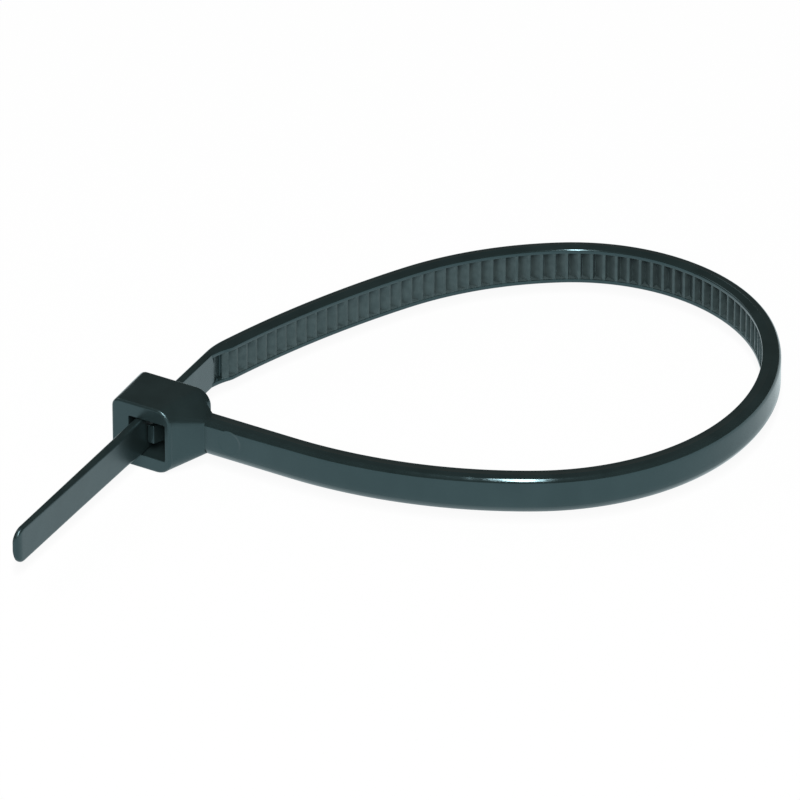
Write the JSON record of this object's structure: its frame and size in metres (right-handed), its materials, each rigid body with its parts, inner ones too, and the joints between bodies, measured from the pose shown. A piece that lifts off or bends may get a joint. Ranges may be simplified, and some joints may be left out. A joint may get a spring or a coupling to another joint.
{
  "type": "cable tie",
  "caption": "Black nylon cable tie closed into a teardrop loop, toothed inside, with its smooth tail through the square head, past the pawl.",
  "frame": {"origin": "underside of the head, below the middle of the slot", "axes": "+X along the strap as it leaves the head, +Y along the slot into the loop, +Z across the strap, upwards as the tie stands on edge"},
  "size_m": [0.0388, 0.0551, 0.0051],
  "materials": {
    "nylon": "satin moulded nylon"
  },
  "bodies": {
    "root": {"cable_tie": "nylon"}
  },
  "joints": []
}
